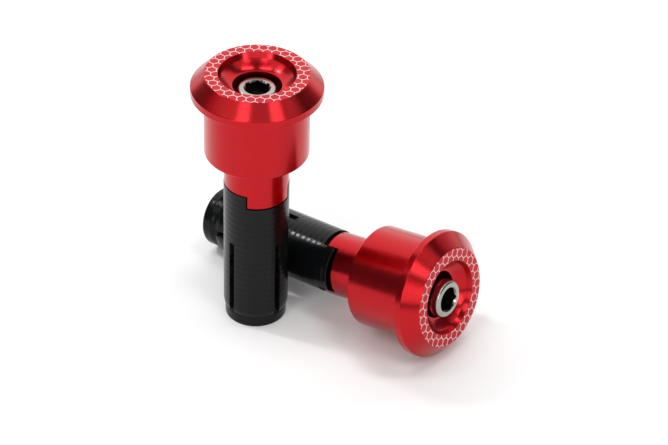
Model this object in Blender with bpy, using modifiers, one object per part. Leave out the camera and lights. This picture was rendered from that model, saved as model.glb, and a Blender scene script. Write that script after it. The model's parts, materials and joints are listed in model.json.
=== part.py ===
"""A pair of expanding handlebar end plugs.

Each plug is a turned end cap, a clamp screw, a slotted expander sleeve and a cone nut.
Turning the screw draws the cone nut up into the sleeve, whose four fingers spread and
grip the inside of the handlebar.

Plug A stands upright on its cone nut, tightened home. Plug B lies behind it with its
screw backed out, so its sleeve hangs loose on the screw and sags a little.

Units are metres, +Z is up. The origin is the middle of the pair's bounding box, on the
floor. Inside a plug, local +Z runs from the tail to the head, local z = 0 is the cone
nut's tail face when the plug is closed, and local +X points at one of the cap's tongues.
"""
import math

import bmesh
import bpy
from mathutils import Matrix, Vector

# ---------------------------------------------------------------- driving dimensions
FLANGE_DIAMETER = 0.0340
FLANGE_BAND = 0.00205           # cylindrical rim of the flange
BEVEL_HEIGHT = 0.0036           # cone between the rim and the end face
FACE_DIAMETER = 0.0269          # outer edge of the flat end face
MOUTH_DIAMETER = 0.0200         # inner edge of the flat end face
MOUTH_DEPTH = 0.00145           # steep wall just inside the face
MOUTH_TAPER = 0.00012           # how much that wall narrows on its way down
BOWL_DEPTH = 0.0035             # face to the counterbore's edge
WEB_DEPTH = 0.0105              # face to the web that the screw head seats on
WEB_THICKNESS = 0.0063          # metal under the screw head
BODY_DIAMETER = 0.0271
BODY_LENGTH = 0.0177
NECK_LENGTH = 0.0093            # body's shoulder to the tongues' roots
EDGE_BREAK = 0.0003             # small chamfer on turned edges

SLEEVE_DIAMETER = 0.0171
SLEEVE_BORE_DIAMETER = 0.0110
SLEEVE_LENGTH = 0.03875
SLEEVE_END_CHAMFER = 0.0014     # length of the chamfer at the tail end
SLEEVE_END_DROP = 0.00025       # how far that chamfer steps in
SLEEVE_LIP = 0.00025            # flat ring left between the chamfer and the coned mouth
TONGUE_LENGTH = 0.00365
SLOT_LENGTH = 0.0224
SLOT_WIDTH = 0.0018
SLOT_TURN = math.radians(14.0)  # slots against the cap's tongues

CONE_HALF_ANGLE = math.radians(16.0)
NUT_RIM_HEIGHT = 0.0033         # how far the closed nut stands out of the sleeve
NUT_CONE_LENGTH = 0.0070        # cone inside the sleeve

SCREW_DIAMETER = 0.0060
SCREW_HEAD_DIAMETER = 0.01022
SCREW_HEAD_HEIGHT = 0.0060
SCREW_HEAD_BEVEL = 0.0004
SOCKET_ACROSS_FLATS = 0.0060
SOCKET_DEPTH = 0.0032

# ---------------------------------------------------------------- clearances
PLAY = 0.0003                   # between faces that would touch
TONGUE_SIDE_PLAY = 0.00015      # taken off each flank of each tongue
CONE_PLAY = 0.0002              # between the cone and the sleeve's mouth, across the axis
HEAD_PLAY = 0.00124             # screw head to the counterbore's wall
SHANK_PLAY = 0.0016             # screw to the neck's bore, room for a loose plug to sag
NECK_STEP = 0.0001              # neck inside the sleeve's outline
RIM_STEP = 0.00045              # cone nut's rim inside the sleeve's outline

# ---------------------------------------------------------------- how the pair is set down
ROLL_A = math.radians(-60.3)    # plug A turned about its own axis
YAW_B = math.radians(-36.4)     # plug B's heading, from +X
ROLL_B = math.radians(-17.3)
SAG_B = math.radians(3.9)       # cap against sleeve, in the upright plane
SWING_B = math.radians(-1.4)    # sleeve against cap, seen from above
SLEEVE_GAP_B = 0.0013           # loose sleeve pulled away from the cap
NUT_BACK_B = 0.0015             # cone nut further out of the sleeve than when closed
SCREW_BACK_B = 0.0039           # screw head lifted off its seat
CROSSING_B = 0.0257             # station of plug B's sleeve that passes plug A
PAIR_GAP = 0.0006               # between the two sleeves where they pass

SEGMENTS = 48                   # facets round a turned piece
BOWL_STEPS = 5
CUTTER_SIZE = 0.04

# ---------------------------------------------------------------- diameters that follow
COUNTERBORE_DIAMETER = SCREW_HEAD_DIAMETER + 2.0 * HEAD_PLAY
NECK_BORE_DIAMETER = SCREW_DIAMETER + 2.0 * SHANK_PLAY
NECK_DIAMETER = SLEEVE_DIAMETER - 2.0 * NECK_STEP
NUT_RIM_DIAMETER = SLEEVE_DIAMETER - 2.0 * RIM_STEP
SLEEVE_END_DIAMETER = SLEEVE_DIAMETER - 2.0 * SLEEVE_END_DROP
SLEEVE_MOUTH_DIAMETER = SLEEVE_END_DIAMETER - 2.0 * SLEEVE_LIP
HOLE_RADIUS = SCREW_DIAMETER / 2.0 + PLAY
HINGE_RADIUS = (SLEEVE_DIAMETER + SLEEVE_BORE_DIAMETER) / 4.0

# ---------------------------------------------------------------- stations along a plug
Z_SLEEVE_TAIL = NUT_RIM_HEIGHT
Z_SLEEVE_TOP = Z_SLEEVE_TAIL + SLEEVE_LENGTH
Z_SLEEVE_NOTCH = Z_SLEEVE_TOP - TONGUE_LENGTH
Z_SLOT_ROOT = Z_SLEEVE_TAIL + SLOT_LENGTH
Z_CAP_NOTCH = Z_SLEEVE_TOP + PLAY
Z_CAP_TIP = Z_CAP_NOTCH - TONGUE_LENGTH
Z_SHOULDER = Z_CAP_NOTCH + NECK_LENGTH
Z_BAND = Z_SHOULDER + BODY_LENGTH
Z_BEVEL = Z_BAND + FLANGE_BAND
Z_FACE = Z_BEVEL + BEVEL_HEIGHT
Z_NUT_TOP = Z_SLEEVE_TAIL + NUT_CONE_LENGTH
Z_SCREW_TIP = PLAY
Z_WEB_TOP = Z_FACE - WEB_DEPTH
Z_HEAD_SEAT = Z_WEB_TOP + PLAY
Z_HEAD_TOP = Z_HEAD_SEAT + SCREW_HEAD_HEIGHT
Z_WEB_FOOT = Z_WEB_TOP - WEB_THICKNESS
Z_WEB_MIDDLE = (Z_WEB_TOP + Z_WEB_FOOT) / 2.0
Z_TONGUE_MIDDLE = (Z_SLEEVE_NOTCH + Z_SLEEVE_TOP) / 2.0
Z_MOUTH_MIDDLE = Z_SLEEVE_TAIL + NUT_CONE_LENGTH / 2.0

CONE_SLOPE = math.tan(CONE_HALF_ANGLE)
CONE_EDGE_RADIUS = NUT_RIM_DIAMETER / 2.0
CONE_START = Z_SLEEVE_TAIL - (
    CONE_EDGE_RADIUS - SLEEVE_MOUTH_DIAMETER / 2.0 + CONE_PLAY) / CONE_SLOPE


# ---------------------------------------------------------------- scene and helpers
def clear_scene():
    for obj in list(bpy.data.objects):
        bpy.data.objects.remove(obj, do_unlink=True)


def new_collection(name):
    collection = bpy.data.collections.new(name)
    bpy.context.scene.collection.children.link(collection)
    return collection


def metal(name, colour, roughness, metallic):
    """A Principled material."""
    material = bpy.data.materials.new(name)
    material.use_nodes = True
    shader = material.node_tree.nodes["Principled BSDF"]
    shader.inputs["Base Color"].default_value = (*colour, 1.0)
    shader.inputs["Roughness"].default_value = roughness
    shader.inputs["Metallic"].default_value = metallic
    return material


def add_object(name, data, collection):
    obj = bpy.data.objects.new(name, data)
    collection.objects.link(obj)
    return obj


def turned(name, profile, closed=True):
    """Turn a profile of (radius, z) points about Z with a Screw modifier.

    The points run down the outer side, from top to bottom, and then up the bore.
    A profile that ends on the axis is left open.
    """
    mesh = bpy.data.meshes.new(name)
    bm = bmesh.new()
    points = [bm.verts.new((radius, 0.0, z)) for radius, z in profile]
    for start, end in zip(points, points[1:]):
        bm.edges.new((start, end))
    if closed:
        bm.edges.new((points[-1], points[0]))
    bm.to_mesh(mesh)
    bm.free()
    obj = add_object(name, mesh, WORK)
    screw = obj.modifiers.new("turn", 'SCREW')
    screw.axis = 'Z'
    screw.angle = 2.0 * math.pi
    screw.steps = SEGMENTS
    screw.render_steps = SEGMENTS
    screw.use_merge_vertices = True
    screw.merge_threshold = 0.00001
    return obj


def box_cutter(low, high, turn):
    """A box between two corners, turned about Z."""
    mesh = bpy.data.meshes.new("cutter")
    bm = bmesh.new()
    bmesh.ops.create_cube(bm, size=1.0)
    size = Vector(high) - Vector(low)
    middle = (Vector(high) + Vector(low)) / 2.0
    bmesh.ops.scale(bm, vec=size, verts=bm.verts)
    bmesh.ops.translate(bm, vec=middle, verts=bm.verts)
    bmesh.ops.rotate(bm, cent=(0.0, 0.0, 0.0), matrix=Matrix.Rotation(turn, 3, 'Z'), verts=bm.verts)
    bm.to_mesh(mesh)
    bm.free()
    cutter = add_object("cutter", mesh, CUTTERS)
    cutter.hide_render = True
    cutter.display_type = 'WIRE'
    return cutter


def hex_cutter(across_flats, bottom, top):
    """A six-sided prism on the Z axis."""
    mesh = bpy.data.meshes.new("cutter")
    bm = bmesh.new()
    radius = across_flats / math.sqrt(3.0)
    bmesh.ops.create_cone(bm, cap_ends=True, segments=6, radius1=radius, radius2=radius,
                          depth=top - bottom)
    bmesh.ops.translate(bm, vec=(0.0, 0.0, (top + bottom) / 2.0), verts=bm.verts)
    bm.to_mesh(mesh)
    bm.free()
    cutter = add_object("cutter", mesh, CUTTERS)
    cutter.hide_render = True
    cutter.display_type = 'WIRE'
    return cutter


def apply_cutter(obj, cutter, operation='DIFFERENCE'):
    boolean = obj.modifiers.new("cut", 'BOOLEAN')
    boolean.operation = operation
    boolean.object = cutter
    boolean.solver = 'EXACT'


def finished_mesh(obj, material, origin=(0.0, 0.0, 0.0)):
    """Apply an object's modifiers and return its mesh, with its origin moved."""
    bpy.context.view_layer.update()
    depsgraph = bpy.context.evaluated_depsgraph_get()
    mesh = bpy.data.meshes.new_from_object(obj.evaluated_get(depsgraph))
    mesh.name = obj.name
    mesh.transform(Matrix.Translation(-Vector(origin)))
    mesh.materials.clear()
    mesh.materials.append(material)
    mesh.shade_smooth()
    mesh.set_sharp_from_angle(angle=math.radians(30.0))
    for cutter in list(CUTTERS.objects):
        bpy.data.objects.remove(cutter, do_unlink=True)
    bpy.data.objects.remove(obj, do_unlink=True)
    return mesh


# ---------------------------------------------------------------- the four kinds of piece
def end_cap_mesh():
    """Flange, body and neck in one turned piece, with a dished recess for the screw head."""
    wall_radius = MOUTH_DIAMETER / 2.0 - MOUTH_TAPER
    bowl_reach = wall_radius - COUNTERBORE_DIAMETER / 2.0
    bowl_drop = BOWL_DEPTH - MOUTH_DEPTH
    bowl = []
    for step in range(BOWL_STEPS + 1):
        angle = math.radians(90.0) * step / BOWL_STEPS
        bowl.append((wall_radius - bowl_reach * math.sin(angle),
                     Z_FACE - BOWL_DEPTH + bowl_drop * (1.0 - math.sin(angle)) ** 1.5))
    bowl.reverse()
    profile = [
        (MOUTH_DIAMETER / 2.0, Z_FACE),
        (FACE_DIAMETER / 2.0, Z_FACE),
        (FLANGE_DIAMETER / 2.0, Z_BEVEL),
        (FLANGE_DIAMETER / 2.0, Z_BAND),
        (BODY_DIAMETER / 2.0, Z_BAND),
        (BODY_DIAMETER / 2.0, Z_SHOULDER + EDGE_BREAK),
        (BODY_DIAMETER / 2.0 - EDGE_BREAK, Z_SHOULDER),
        (NECK_DIAMETER / 2.0, Z_SHOULDER),
        (NECK_DIAMETER / 2.0, Z_CAP_TIP),
        (NECK_BORE_DIAMETER / 2.0, Z_CAP_TIP),
        (NECK_BORE_DIAMETER / 2.0, Z_WEB_FOOT),
        (HOLE_RADIUS, Z_WEB_FOOT),
        (HOLE_RADIUS, Z_WEB_TOP),
        (COUNTERBORE_DIAMETER / 2.0, Z_WEB_TOP),
        *bowl,
    ]
    cap = turned("end_cap", profile)
    for turn in (45.0, 225.0):
        apply_cutter(cap, box_cutter(
            (-TONGUE_SIDE_PLAY, -TONGUE_SIDE_PLAY, Z_CAP_TIP - TONGUE_LENGTH),
            (CUTTER_SIZE, CUTTER_SIZE, Z_CAP_NOTCH), math.radians(turn)))
    return finished_mesh(cap, RED_ANODISE)


def sleeve_tube_mesh():
    """Upper part of the sleeve, whole all round, with two tongues at its head end."""
    foot = Z_SLOT_ROOT + PLAY / 2.0
    profile = [
        (SLEEVE_DIAMETER / 2.0, Z_SLEEVE_TOP),
        (SLEEVE_DIAMETER / 2.0, foot),
        (SLEEVE_BORE_DIAMETER / 2.0, foot),
        (SLEEVE_BORE_DIAMETER / 2.0, Z_SLEEVE_TOP),
    ]
    tube = turned("sleeve_tube", profile)
    for turn in (-45.0, 135.0):
        apply_cutter(tube, box_cutter(
            (-TONGUE_SIDE_PLAY, -TONGUE_SIDE_PLAY, Z_SLEEVE_NOTCH),
            (CUTTER_SIZE, CUTTER_SIZE, Z_SLEEVE_TOP + TONGUE_LENGTH), math.radians(turn)))
    return finished_mesh(tube, BLACK_ANODISE)


def sleeve_finger_mesh():
    """One finger between two slots, facing local +X, with its origin on its hinge line."""
    top = Z_SLOT_ROOT - PLAY / 2.0
    taper = (SLEEVE_MOUTH_DIAMETER - SLEEVE_BORE_DIAMETER) / 2.0 / CONE_SLOPE
    profile = [
        (SLEEVE_DIAMETER / 2.0, top),
        (SLEEVE_DIAMETER / 2.0, Z_SLEEVE_TAIL + SLEEVE_END_CHAMFER),
        (SLEEVE_END_DIAMETER / 2.0, Z_SLEEVE_TAIL),
        (SLEEVE_MOUTH_DIAMETER / 2.0, Z_SLEEVE_TAIL),
        (SLEEVE_BORE_DIAMETER / 2.0, Z_SLEEVE_TAIL + taper),
        (SLEEVE_BORE_DIAMETER / 2.0, top),
    ]
    finger = turned("sleeve_finger", profile)
    apply_cutter(finger, box_cutter(
        (SLOT_WIDTH / 2.0, SLOT_WIDTH / 2.0, -CUTTER_SIZE),
        (CUTTER_SIZE, CUTTER_SIZE, CUTTER_SIZE), math.radians(-45.0)), 'INTERSECT')
    return finished_mesh(finger, BLACK_ANODISE, (HINGE_RADIUS, 0.0, Z_SLOT_ROOT))


def cone_nut_mesh():
    """Plain rim at the tail and a cone that wedges into the sleeve's mouth."""
    nose_radius = CONE_EDGE_RADIUS - CONE_SLOPE * (Z_NUT_TOP - CONE_START)
    profile = [
        (nose_radius, Z_NUT_TOP),
        (CONE_EDGE_RADIUS, CONE_START),
        (CONE_EDGE_RADIUS, EDGE_BREAK),
        (CONE_EDGE_RADIUS - EDGE_BREAK, 0.0),
        (HOLE_RADIUS, 0.0),
        (HOLE_RADIUS, Z_NUT_TOP),
    ]
    return finished_mesh(turned("cone_nut", profile), BLACK_ANODISE)


def clamp_screw_mesh():
    """Socket head cap screw."""
    profile = [
        (0.0, Z_HEAD_TOP),
        (SCREW_HEAD_DIAMETER / 2.0 - SCREW_HEAD_BEVEL, Z_HEAD_TOP),
        (SCREW_HEAD_DIAMETER / 2.0, Z_HEAD_TOP - SCREW_HEAD_BEVEL),
        (SCREW_HEAD_DIAMETER / 2.0, Z_HEAD_SEAT),
        (SCREW_DIAMETER / 2.0, Z_HEAD_SEAT),
        (SCREW_DIAMETER / 2.0, Z_SCREW_TIP + EDGE_BREAK),
        (SCREW_DIAMETER / 2.0 - EDGE_BREAK, Z_SCREW_TIP),
        (0.0, Z_SCREW_TIP),
    ]
    screw = turned("clamp_screw", profile, closed=False)
    apply_cutter(screw, hex_cutter(SOCKET_ACROSS_FLATS, Z_HEAD_TOP - SOCKET_DEPTH,
                                   Z_HEAD_TOP + SOCKET_DEPTH))
    return finished_mesh(screw, NICKEL)


# ---------------------------------------------------------------- placing a plug
def axis_of(frame):
    return frame.to_3x3() @ Vector((0.0, 0.0, 1.0))


def point_of(frame, z):
    return frame @ Vector((0.0, 0.0, z))


def frame_along(axis, origin, like):
    """A frame whose +Z is axis, turned as little as possible from another frame."""
    turn = axis_of(like).rotation_difference(axis).to_matrix()
    return Matrix.Translation(origin) @ (turn @ like.to_3x3()).to_4x4()


def disc_low_point(centre, axis, radius):
    """Lowest point of a disc's rim."""
    down = Vector((0.0, 0.0, -1.0))
    return centre + radius * (down - axis * down.dot(axis)).normalized()


def disc_extent(centre, axis, radius):
    """Corners of a disc's bounding box."""
    reach = Vector([radius * math.sqrt(max(0.0, 1.0 - part * part)) for part in axis])
    return centre - reach, centre + reach


def loose_frames(tilt):
    """Frames of plug B's cap, sleeve, nut and screw, with the cap tilted up by tilt.

    The sleeve sags below the cap's line. The screw and nut share the line from the
    middle of the cap's web to the middle of the sleeve's mouth.
    """
    tip_over = Matrix.Rotation(math.radians(90.0) - tilt, 4, 'Y')
    cap = Matrix.Rotation(YAW_B, 4, 'Z') @ tip_over @ Matrix.Rotation(ROLL_B, 4, 'Z')
    sag_over = Matrix.Rotation(math.radians(90.0) - tilt + SAG_B, 4, 'Y')
    sleeve_turn = (Matrix.Rotation(YAW_B + SWING_B, 4, 'Z') @ sag_over
                   @ Matrix.Rotation(ROLL_B, 4, 'Z'))
    joint = point_of(cap, Z_TONGUE_MIDDLE) - SLEEVE_GAP_B * axis_of(sleeve_turn)
    sleeve = Matrix.Translation(joint - point_of(sleeve_turn, Z_TONGUE_MIDDLE)) @ sleeve_turn
    web = point_of(cap, Z_WEB_MIDDLE)
    mouth = point_of(sleeve, Z_MOUTH_MIDDLE)
    line = (web - mouth).normalized()
    nut = frame_along(line, mouth - line * (Z_MOUTH_MIDDLE + NUT_BACK_B), sleeve)
    screw = frame_along(line, web - line * (Z_WEB_MIDDLE - SCREW_BACK_B), cap)
    return cap, sleeve, nut, screw


def rest_points(cap, nut):
    """The two points plug B rests on: the flange's rim and the cone nut's rim."""
    head = disc_low_point(point_of(cap, Z_BAND), axis_of(cap), FLANGE_DIAMETER / 2.0)
    tail = disc_low_point(point_of(nut, EDGE_BREAK), axis_of(nut), NUT_RIM_DIAMETER / 2.0)
    return head, tail


def settle_plug_b():
    """Tilt plug B until both rest points are level, then set it down beside plug A."""
    tilt = 0.0
    for _ in range(12):
        cap, _sleeve, nut, _screw = loose_frames(tilt)
        head, tail = rest_points(cap, nut)
        tilt += math.atan2(tail.z - head.z, (head - tail).to_2d().length)
    frames = loose_frames(tilt)
    head, _tail = rest_points(frames[0], frames[2])
    crossing = point_of(frames[1], CROSSING_B)
    heading = axis_of(frames[1]).to_2d().normalized()
    aside = Vector((-heading.y, heading.x)) * (SLEEVE_DIAMETER + PAIR_GAP)
    move = Matrix.Translation((aside.x - crossing.x, aside.y - crossing.y, -head.z))
    return [move @ frame for frame in frames]


def middle_of_pair(plug_a, cap_b, nut_b):
    """Middle of the pair's footprint, from the discs that reach furthest."""
    discs = [
        (plug_a, Z_BEVEL, FLANGE_DIAMETER),
        (cap_b, Z_FACE, FACE_DIAMETER),
        (cap_b, Z_BEVEL, FLANGE_DIAMETER),
        (cap_b, Z_BAND, FLANGE_DIAMETER),
        (nut_b, CONE_START, NUT_RIM_DIAMETER),
        (nut_b, EDGE_BREAK, NUT_RIM_DIAMETER),
        (nut_b, 0.0, NUT_RIM_DIAMETER - 2.0 * EDGE_BREAK),
    ]
    corners = []
    for frame, z, diameter in discs:
        corners.extend(disc_extent(point_of(frame, z), axis_of(frame), diameter / 2.0))
    xs = [corner.x for corner in corners]
    ys = [corner.y for corner in corners]
    return Vector(((min(xs) + max(xs)) / 2.0, (min(ys) + max(ys)) / 2.0, 0.0))


def empty_frame(name, matrix):
    empty = add_object(name, None, PAIR)
    empty.empty_display_size = 0.01
    empty.matrix_world = matrix
    return empty


def place(name, mesh, parent, location=(0.0, 0.0, 0.0), turn=0.0):
    obj = add_object(name, mesh, PAIR)
    obj.parent = parent
    obj.location = location
    obj.rotation_euler = (0.0, 0.0, turn)
    return obj


def place_plug(letter, meshes, cap_frame, sleeve_frame, nut_frame, screw_frame):
    """Place one plug's eight nodes on the empties that carry them."""
    cap = empty_frame(f"cap_frame_{letter}", cap_frame)
    sleeve = empty_frame(f"sleeve_frame_{letter}", sleeve_frame)
    nut = empty_frame(f"nut_frame_{letter}", nut_frame)
    screw = empty_frame(f"screw_frame_{letter}", screw_frame)
    place(f"end_cap_{letter}", meshes["end_cap"], cap)
    place(f"clamp_screw_{letter}", meshes["clamp_screw"], screw)
    place(f"cone_nut_{letter}", meshes["cone_nut"], nut)
    place(f"sleeve_tube_{letter}", meshes["sleeve_tube"], sleeve)
    for number in range(4):
        turn = SLOT_TURN + math.radians(45.0 + 90.0 * number)
        hinge = Matrix.Rotation(turn, 3, 'Z') @ Vector((HINGE_RADIUS, 0.0, Z_SLOT_ROOT))
        place(f"sleeve_finger_{letter}{number + 1}", meshes["sleeve_finger"], sleeve, hinge, turn)


clear_scene()
PAIR = new_collection("bar_end_plugs")
WORK = new_collection("work")
CUTTERS = new_collection("cutters")
RED_ANODISE = metal("red_anodised_aluminium", (0.55, 0.01, 0.02), 0.28, 1.0)
BLACK_ANODISE = metal("black_anodised_aluminium", (0.02, 0.02, 0.022), 0.35, 0.6)
NICKEL = metal("nickel_plated_steel", (0.55, 0.52, 0.48), 0.25, 1.0)

MESHES = {
    "end_cap": end_cap_mesh(),
    "clamp_screw": clamp_screw_mesh(),
    "sleeve_tube": sleeve_tube_mesh(),
    "sleeve_finger": sleeve_finger_mesh(),
    "cone_nut": cone_nut_mesh(),
}
PLUG_A = Matrix.Rotation(ROLL_A, 4, 'Z')
CAP_B, SLEEVE_B, NUT_B, SCREW_B = settle_plug_b()
TO_ORIGIN = Matrix.Translation(-middle_of_pair(PLUG_A, CAP_B, NUT_B))
place_plug("a", MESHES, *[TO_ORIGIN @ PLUG_A] * 4)
place_plug("b", MESHES, *[TO_ORIGIN @ frame for frame in (CAP_B, SLEEVE_B, NUT_B, SCREW_B)])
bpy.context.view_layer.update()
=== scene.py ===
# %% [markdown]
# # A pair of expanding handlebar end plugs
# A bar end plug closes the open end of a bicycle's handlebar. A red end cap stays outside, a
# slotted black sleeve goes into the tube, and a long socket head screw draws a cone nut up the
# sleeve so that its four fingers spread and grip. One plug stands on its cone nut and the other
# lies behind it with its screw backed out. This lesson rebuilds every piece as a fine surface
# around the fixed frame.

# %% Load the frame
import json
import math

import bmesh
import bpy
import numpy as np
from mathutils import Matrix, Vector


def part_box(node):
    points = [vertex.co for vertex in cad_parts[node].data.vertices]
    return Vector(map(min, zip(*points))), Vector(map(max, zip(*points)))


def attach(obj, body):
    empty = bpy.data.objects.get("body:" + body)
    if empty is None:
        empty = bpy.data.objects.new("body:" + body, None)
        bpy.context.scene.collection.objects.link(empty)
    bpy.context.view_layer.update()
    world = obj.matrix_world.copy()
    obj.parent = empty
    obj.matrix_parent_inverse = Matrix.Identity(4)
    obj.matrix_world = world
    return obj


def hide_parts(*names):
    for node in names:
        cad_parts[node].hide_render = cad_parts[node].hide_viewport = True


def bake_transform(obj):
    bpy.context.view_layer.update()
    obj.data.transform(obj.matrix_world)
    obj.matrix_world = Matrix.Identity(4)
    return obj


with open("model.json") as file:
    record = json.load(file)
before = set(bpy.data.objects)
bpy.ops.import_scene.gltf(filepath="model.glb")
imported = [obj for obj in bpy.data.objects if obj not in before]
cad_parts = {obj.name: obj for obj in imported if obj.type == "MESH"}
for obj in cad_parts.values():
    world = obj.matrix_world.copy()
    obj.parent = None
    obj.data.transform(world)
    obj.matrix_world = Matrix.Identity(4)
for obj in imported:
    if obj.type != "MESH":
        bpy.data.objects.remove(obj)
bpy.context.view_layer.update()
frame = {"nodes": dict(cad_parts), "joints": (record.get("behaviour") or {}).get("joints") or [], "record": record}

JOINTS = {joint["name"]: joint for joint in frame["joints"]}
MOUNTS = {mount["name"]: mount for mount in frame["record"]["mounts"]}
MM = 0.001

# %% [markdown]
# ## The sizes of one plug
# Every piece of a plug is turned on a lathe, so its shape is a profile: radii at stations along
# the axis. Stations run from 0 at the cone nut's tail face up to 75 mm at the cap's end face.
# Sizes are in millimetres here, since that is how a lathe hand would write them down. Names that
# end in R are radii, and the others are stations or depths.

# %% Sizes in millimetres
FACE, BEVEL_FOOT, BAND_FOOT, SHOULDER = 75.0, 71.4, 69.35, 51.65
CAP_NOTCH, CAP_TIP = 42.35, 38.7
SLEEVE_TOP, SLEEVE_NOTCH, SLOT_ROOT, SLEEVE_TAIL = 42.05, 38.4, 25.7, 3.3
HEAD_TOP, HEAD_SEAT, WEB_TOP, WEB_FOOT, SCREW_TIP = 70.8, 64.8, 64.5, 58.2, 0.3
NUT_TOP = 10.3
FLANGE_R, FACE_R, MOUTH_R, BODY_R, NECK_R, NECK_BORE_R = 17.0, 13.45, 10.0, 13.55, 8.45, 4.6
COUNTERBORE_R, HOLE_R, WALL_FOOT_R, WALL_DEPTH, BOWL_DEPTH = 6.35, 3.3, 9.42, 1.40, 3.5
SLEEVE_R, SLEEVE_BORE_R, SLEEVE_END_R, SLEEVE_MOUTH_R, SLOT_HALF = 8.55, 5.5, 8.3, 8.05, 0.9
RIM_R, HEAD_R, SCREW_R, SOCKET_FLAT = 8.1, 5.11, 3.0, 3.0
SOCKET_DEPTH, THREAD_PITCH, THREAD_TOP, THREAD_DEPTH = 3.2, 1.0, 26.0, 0.58
CONE_SLOPE = math.tan(math.radians(16.0))
CONE_CLEARANCE = 0.2
CONE_START = SLEEVE_TAIL - (RIM_R - SLEEVE_MOUTH_R + CONE_CLEARANCE) / CONE_SLOPE
TONGUE_HALF = math.radians(43.8)
SLOT_TURN = math.radians(14.0)
ROLL_A, ROLL_B = math.radians(-60.3), math.radians(-17.3)
print("one plug:", FACE, "mm long,", 2 * FLANGE_R, "mm wide, sleeve", 2 * SLEEVE_R, "mm")

# %% [markdown]
# ## Where each piece lies
# The standing plug needs only its axis. The lying plug is loose, so its cap, sleeve, nut and
# screw each point a little differently. Their places could be typed in again, but then they could
# drift from the frame. Reading them off the frame's own joints, mounts and rings keeps one source
# of truth.


# %% Frames of the pieces
RING_DEPTH = 0.00001


def frame_from(axis, point, station, roll):
    """A frame whose +Z is axis, with point at that station, turned about its axis by roll."""
    yaw = math.atan2(axis.y, axis.x)
    tilt = math.asin(max(-1.0, min(1.0, axis.z)))
    turn = Matrix.Rotation(yaw, 4, 'Z') @ Matrix.Rotation(math.pi / 2 - tilt, 4, 'Y')
    turn = turn @ Matrix.Rotation(roll, 4, 'Z')
    return Matrix.Translation(point - axis * (station * MM)) @ turn


def frame_like(axis, point, station, like):
    """A frame whose +Z is axis, turned as little as possible from another frame."""
    old = like.to_3x3() @ Vector((0.0, 0.0, 1.0))
    turn = old.rotation_difference(axis).to_matrix() @ like.to_3x3()
    return Matrix.Translation(point - axis * (station * MM)) @ turn.to_4x4()


def ring_centre(node, axis):
    """Centre of the ring of points that a turned node reaches furthest with along axis."""
    mesh = frame["nodes"][node].data
    points = np.zeros(len(mesh.vertices) * 3, np.float32)
    mesh.vertices.foreach_get("co", points)
    points = points.reshape(-1, 3).astype(float)
    along = points @ np.array(axis)
    ring = points[along > along.max() - RING_DEPTH]
    side = np.cross(np.array(axis), (0.0, 0.0, 1.0))
    side /= np.linalg.norm(side)
    up = np.cross(side, np.array(axis))
    middle = [(ring @ way).max() / 2 + (ring @ way).min() / 2 for way in (side, up)]
    return Vector(side * middle[0] + up * middle[1] + np.array(axis) * along.max())


low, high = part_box("end_cap_a")
FOOT_A = Vector(((low.x + high.x) / 2, (low.y + high.y) / 2, 0.0))
PLUG_A = Matrix.Translation(FOOT_A) @ Matrix.Rotation(ROLL_A, 4, 'Z')

cap_axis = -Vector(MOUNTS["shoulder_b"]["axis"]).normalized()
sleeve_axis = Vector(JOINTS["sleeve_b_take_up"]["axis"]).normalized()
nut_axis = Vector(JOINTS["nut_b_draw"]["axis"]).normalized()
screw_axis = -Vector(JOINTS["screw_b_turn"]["axis"]).normalized()
hinges = [Vector(JOINTS[f"finger_b{n}_flare"]["pos_m"]) for n in (1, 2, 3, 4)]
CAP_B = frame_from(cap_axis, ring_centre("end_cap_b", cap_axis), FACE, ROLL_B)
SLEEVE_B = frame_from(sleeve_axis, sum(hinges, Vector()) / 4, SLOT_ROOT, ROLL_B)
NUT_B = frame_like(nut_axis, ring_centre("cone_nut_b", -nut_axis), 0.0, SLEEVE_B)
SCREW_B = frame_like(screw_axis, Vector(JOINTS["screw_b_turn"]["pos_m"]), HEAD_SEAT, CAP_B)
PLUGS = {
    "a": {"cap": PLUG_A, "sleeve": PLUG_A, "nut": PLUG_A, "screw": PLUG_A},
    "b": {"cap": CAP_B, "sleeve": SLEEVE_B, "nut": NUT_B, "screw": SCREW_B},
}
print("standing plug's axis", [round(c / MM, 2) for c in FOOT_A])

# %% [markdown]
# ## Patches and turned surfaces
# A turned piece could be a Screw modifier on an edge profile, but the pieces here also have
# tongues, slots, knurls, a hexagon and a thread. So each is made of patches. A patch is a grid of
# points from a function of two parameters, and patches that share their edge points weld into one
# closed skin. Each point also keeps where it was on the lathe: the way it faces round the axis
# and how far along the profile it lies. The finishes read that, so tool marks run round every
# piece.


# %% Patches
WELD, SLIVER = 0.0005, 0.0002
SHARP_ANGLE = math.radians(32.0)


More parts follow.
